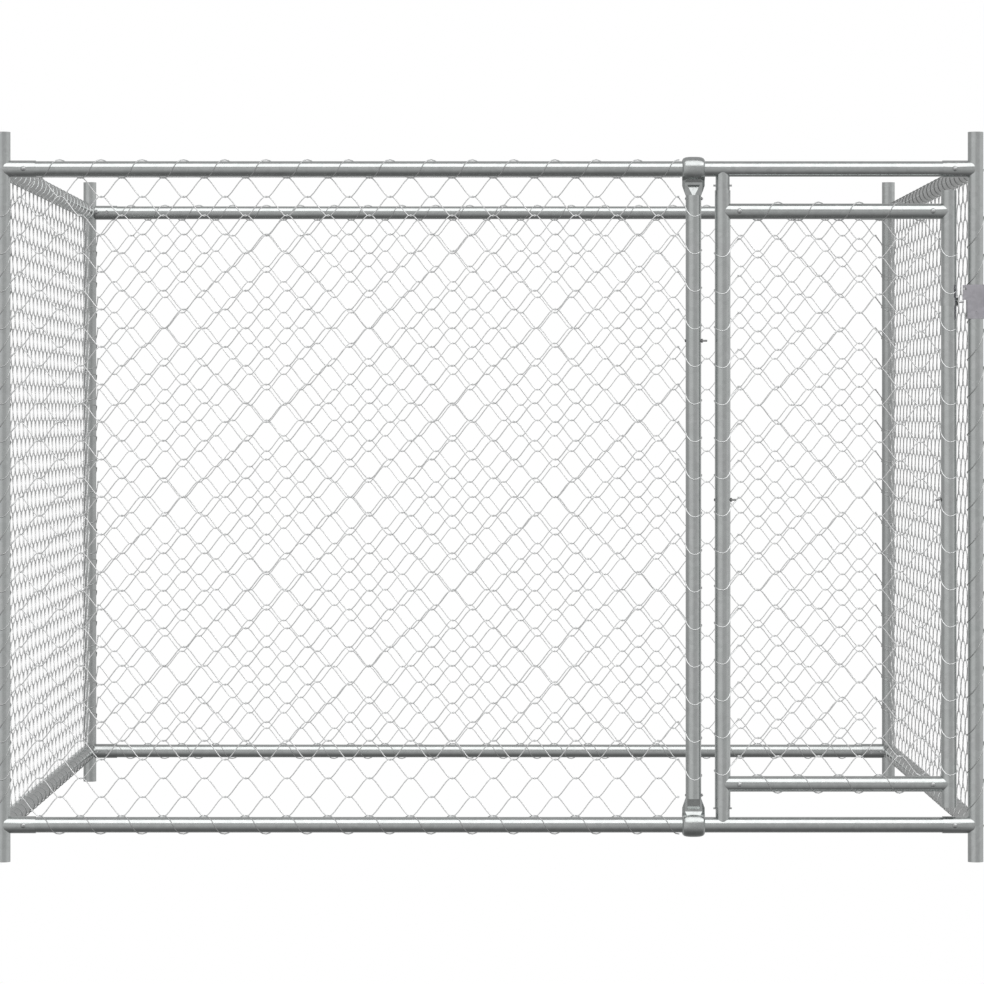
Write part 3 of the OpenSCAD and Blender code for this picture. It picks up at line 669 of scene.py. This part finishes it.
class KENNEL_OT_rail_lacing(bpy.types.Operator):
    """Wind the lacing wire round the rails that carry each wall"""
    bl_idname = "kennel.rail_lacing"
    bl_label = "Rail lacing"

    def execute(self, context):
        settings = context.scene.kennel_wire
        for wall in WALLS:
            paths = [lacing(wall, settings, rail, side) for rail, side in zip(wall.rails, (1, -1))]
            # Painted shade where the lacing bears on the front or back of its rail
            make_wire(
                "lacing_" + wall.name, wall, paths, coat=wall.lacing_coat,
                contact_shade=[shade_share for path in paths for shade_share in lacing_contact_shade(path)],
                wire_radius=settings.wire_d / 2, sides=settings.sides)
        return {"FINISHED"}


class KENNEL_OT_post_loops(bpy.types.Operator):
    """Loop the wire ends of each wall round the posts or stiles beside it"""
    bl_idname = "kennel.post_loops"
    bl_label = "Post loops"

    def execute(self, context):
        settings = context.scene.kennel_wire
        for wall in WALLS:
            low, height = wall.row_span(settings.rail_gap)
            count = (wall.rows - 1 - wall.first_loop) // 2 + 1
            for side, post in zip(("left", "right"), wall.posts):
                path = post_loop(wall, settings, post, height)
                # Painted shade all along a loop where it wraps its post, not at its tails
                make_wire(
                    f"loops_{wall.name}_{side}", wall, [path],
                    coat=wall.loop_coat(post), closed=not wall.wrapped,
                    contact_shade=[0.0] + [1.0] * (len(path) - 2) + [0.0],
                    wire_radius=settings.wire_d / 2, sides=settings.sides,
                    rows=count, first_row=low + wall.first_loop * height, row_step=2 * height)
        return {"FINISHED"}


class KENNEL_OT_tension_wire(bpy.types.Operator):
    """Stretch the straight wire under the front top rail"""
    bl_idname = "kennel.tension_wire"
    bl_label = "Tension wire"

    def execute(self, context):
        settings = context.scene.kennel_wire
        wall = WALLS[0]
        height = RAIL_HIGH - RAIL_R - TENSION_DROP
        path = [(end, -TENSION_OUT, height) for end in wall.laced]
        make_wire("tension_wire", wall, [path], wire_radius=settings.tension_d / 2, sides=settings.sides)
        return {"FINISHED"}


# Radius of a stile cap and its depth in the stile's end, from the middle outside to the middle inside
CAP_PROFILE = [
    (0.0, 0.0024), (0.0075, 0.0022), (0.0110, 0.0016), (0.0130, 0.0007),
    (0.0140, 0.0004), (0.0145, 0.0007), (0.0146, 0.0014), (0.0146, 0.0070),
    (0.0138, 0.0070), (0.0138, 0.0026), (0.0110, 0.0030), (0.0, 0.0034),
]
CAP_SIDES = 40


class KENNEL_OT_stile_caps(bpy.types.Operator):
    """Press a dished cap into each end of the latch stile"""
    bl_idname = "kennel.stile_caps"
    bl_label = "Stile caps"

    def execute(self, context):
        low, high = (corner.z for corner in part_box("door_latch_stile"))
        made = bmesh.new()
        for end, inwards in ((low, 1), (high, -1)):
            rings = []
            for radius, depth in CAP_PROFILE:
                turns = range(CAP_SIDES) if radius else (0,)
                rings.append([
                    made.verts.new((
                        LATCH_STILE + radius * math.cos(2 * math.pi * turn / CAP_SIDES),
                        radius * math.sin(2 * math.pi * turn / CAP_SIDES) - WALL, end + inwards * depth))
                    for turn in turns])
            for ring, after in zip(rings, rings[1:]):
                for turn in range(CAP_SIDES):
                    beside = (turn + 1) % CAP_SIDES
                    corners = [
                        ring[turn % len(ring)], ring[beside % len(ring)],
                        after[beside % len(after)], after[turn % len(after)],
                    ]
                    made.faces.new(dict.fromkeys(corners))
        bmesh.ops.recalc_face_normals(made, faces=made.faces)
        for face in made.faces:
            face.smooth = True
        mesh = bpy.data.meshes.new("stile_caps")
        made.to_mesh(mesh)
        made.free()
        mesh.materials.append(finish("tube_zinc"))
        caps = bpy.data.objects.new("stile_caps", mesh)
        context.scene.collection.objects.link(caps)
        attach(caps, "door")
        return {"FINISHED"}


# Light that the steel reflects. The ground and sky are greys by height, from -1 below to 1 above.
SKY_LEVELS = [
    (-1.0, 0.145), (-0.89, 0.18), (-0.73, 0.27), (-0.5, 0.39),
    (-0.26, 0.44), (0.0, 0.505), (0.26, 0.50), (1.0, 0.44),
]
# The strip light is over the front. Each pair is where it starts and where it is full.
STRIP_FRONT = (0.08, 0.20)
STRIP_HEIGHT = (0.44, 0.58)
STRIP_SIDE = (0.38, 0.62)
STRIP_LEVEL = 1.2
STRIP_RIGHT_GAIN = 0.5
# Soft boxes and dark screens: their direction, the cosines of their edge and core, and their level
SOFT_BOXES = [
    ("ADD", (-0.60, -0.80, 0.0), 0.72, 1.0, 0.17),
    ("ADD", (0.98, 0.17, 0.0), 0.55, 1.0, 0.14),
    ("SUBTRACT", (-0.93, 0.36, 0.0), 0.70, 1.0, 0.08),
    ("SUBTRACT", (0.0, 1.0, 0.0), 0.95, 0.995, 0.14),
]


def lobe(tree, direction, towards, edge, core, level):
    """Light of a soft box that lies in one direction, between two cosines from its middle."""
    node = add_node(tree, "ShaderNodeVectorMath", operation="DOT_PRODUCT")
    length = math.hypot(*towards)
    node.inputs[1].default_value = [c / length for c in towards]
    tree.links.new(direction, node.inputs[0])
    return curve_step(tree, node.outputs["Value"], edge, core, level)


def studio_world(settings):
    """A white backdrop, and soft boxes over a dim ground for what the steel reflects."""
    world = bpy.data.worlds.new("studio")
    world.use_nodes = True
    tree = world.node_tree
    tree.nodes.clear()
    direction = add_node(tree, "ShaderNodeTexCoord").outputs["Generated"]
    axes = add_node(tree, "ShaderNodeSeparateXYZ")
    tree.links.new(direction, axes.inputs[0])
    right, back, up = axes.outputs
    sky = add_node(tree, "ShaderNodeValToRGB")
    for _ in SKY_LEVELS[2:]:
        sky.color_ramp.elements.new(0.5)
    for element, (place, grey) in zip(sky.color_ramp.elements, SKY_LEVELS):
        element.position = (place + 1) / 2
        element.color = (grey, grey, grey, 1)
    tree.links.new(combine(tree, "MULTIPLY_ADD", up, 0.5, 0.5), sky.inputs["Fac"])
    front = combine(tree, "MULTIPLY", back, -1.0)
    left = combine(tree, "MULTIPLY", right, -1.0)
    strip = combine(
        tree, "MULTIPLY", curve_step(tree, front, *STRIP_FRONT),
        curve_step(tree, up, *STRIP_HEIGHT, STRIP_LEVEL))
    evened = combine(tree, "SUBTRACT", 1.0, curve_step(tree, left, *STRIP_SIDE))
    evened = combine(tree, "ADD", evened, curve_step(tree, right, *STRIP_SIDE, STRIP_RIGHT_GAIN))
    level = combine(tree, "ADD", sky.outputs["Color"], combine(tree, "MULTIPLY", strip, evened))
    for change, towards, edge, core, amount in SOFT_BOXES:
        level = combine(tree, change, level, lobe(tree, direction, towards, edge, core, amount))
    reflected = add_node(tree, "ShaderNodeBackground")
    backdrop = add_node(tree, "ShaderNodeBackground")
    backdrop.inputs["Color"].default_value = (*settings.floor_colour, 1)
    rays = add_node(tree, "ShaderNodeLightPath")
    mix = add_node(tree, "ShaderNodeMixShader")
    out = add_node(tree, "ShaderNodeOutputWorld")
    link(tree, [
        (level, reflected.inputs["Color"]),
        (rays.outputs["Is Camera Ray"], mix.inputs["Fac"]),
        (reflected.outputs[0], mix.inputs[1]),
        (backdrop.outputs[0], mix.inputs[2]),
        (mix.outputs[0], out.inputs["Surface"]),
    ])
    return world


IMAGE_SIDE = 984
IMAGE_SHIFT = (2.9, -78.8)  # in pixels of the image
SENSOR_WIDTH = 36.0


class KENNEL_OT_stage(bpy.types.Operator):
    """Set up the floor, the light and the camera"""
    bl_idname = "kennel.stage"
    bl_label = "Stage"

    def execute(self, context):
        settings = context.scene.kennel_stage
        half = settings.floor_side / 2
        corners = [(-half, -half, 0), (half, -half, 0), (half, half, 0), (-half, half, 0)]
        mesh = bpy.data.meshes.new("floor")
        mesh.from_pydata(corners, [], [(0, 1, 2, 3)])
        floor = bpy.data.objects.new("floor", mesh)
        paint = bpy.data.materials.new("floor_white")
        paint.use_nodes = True
        surface = paint.node_tree.nodes["Principled BSDF"]
        surface.inputs["Base Color"].default_value = (0, 0, 0, 1)
        surface.inputs["Specular IOR Level"].default_value = 0.0
        surface.inputs["Emission Color"].default_value = (*settings.floor_colour, 1)
        surface.inputs["Emission Strength"].default_value = 1.0
        mesh.materials.append(paint)
        context.scene.collection.objects.link(floor)
        floor.visible_glossy = False
        floor.visible_diffuse = False
        context.scene.world = studio_world(settings)
        context.scene.view_settings.view_transform = "Standard"
        lens = bpy.data.cameras.new("camera")
        lens.lens = settings.lens
        lens.sensor_width = SENSOR_WIDTH
        lens.shift_x, lens.shift_y = (shift / IMAGE_SIDE for shift in IMAGE_SHIFT)
        camera = bpy.data.objects.new("camera", lens)
        camera.location = (0, -WALL - settings.camera_distance, settings.camera_height)
        camera.rotation_euler = (math.pi / 2, 0, 0)
        context.scene.collection.objects.link(camera)
        context.scene.camera = camera
        return {"FINISHED"}


OPERATORS = (
    KENNEL_OT_steel_finish, KENNEL_OT_chain_link, KENNEL_OT_rail_lacing, KENNEL_OT_post_loops,
    KENNEL_OT_tension_wire, KENNEL_OT_stile_caps, KENNEL_OT_stage,
)


class KENNEL_PT_dressing(bpy.types.Panel):
    """Lists the steps that dress the kennel run"""
    bl_label = "Kennel run"
    bl_space_type = "VIEW_3D"
    bl_region_type = "UI"
    bl_category = "Kennel"

    def draw(self, context):
        for operator in OPERATORS:
            self.layout.operator(operator.bl_idname)


SETTINGS = {
    "kennel_wire": KennelWireSettings,
    "kennel_finish": KennelFinishSettings,
    "kennel_stage": KennelStageSettings,
}


def register():
    for kind in (*SETTINGS.values(), *OPERATORS, KENNEL_PT_dressing):
        bpy.utils.register_class(kind)
    for name, kind in SETTINGS.items():
        setattr(bpy.types.Scene, name, bpy.props.PointerProperty(type=kind))


def unregister():
    for name in SETTINGS:
        delattr(bpy.types.Scene, name)
    for kind in (KENNEL_PT_dressing, *reversed(OPERATORS), *SETTINGS.values()):
        bpy.utils.unregister_class(kind)


def main():
    register()
    bpy.ops.kennel.steel_finish()
    bpy.ops.kennel.chain_link()
    bpy.ops.kennel.rail_lacing()
    bpy.ops.kennel.post_loops()
    bpy.ops.kennel.tension_wire()
    bpy.ops.kennel.stile_caps()
    bpy.ops.kennel.stage()


if __name__ == "__main__":
    main()
